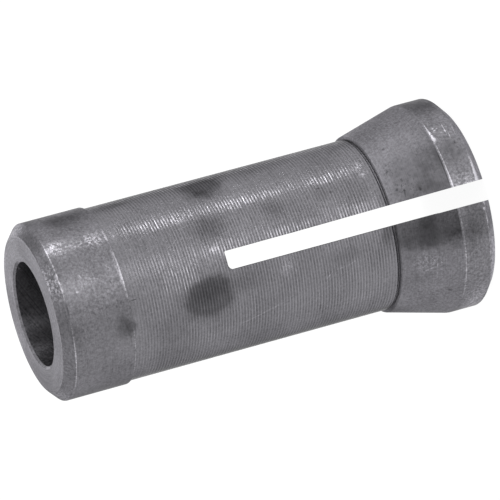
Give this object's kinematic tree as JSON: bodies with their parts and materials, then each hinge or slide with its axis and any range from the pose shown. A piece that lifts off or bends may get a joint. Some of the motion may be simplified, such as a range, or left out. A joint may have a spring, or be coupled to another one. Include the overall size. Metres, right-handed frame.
{
  "type": "router collet",
  "caption": "Turned steel router collet: a bored sleeve with a pilot collar at its tail, a slotted taper head that closes on a cutter shank, and an undercut behind the taper.",
  "frame": {"origin": "centre of the head face, on the bore's axis; the collet stands on this face", "axes": "+Z along the bore's axis from the head to the tail; the saw cut runs through from -Y to +Y; +X is the jaw that stands open"},
  "size_m": [0.0258, 0.0256, 0.0544],
  "materials": {
    "steel": "turned, with fine feed ridges on the body, dulled and stained by use"
  },
  "bodies": {
    "root": {"collet": "steel"}
  },
  "joints": []
}
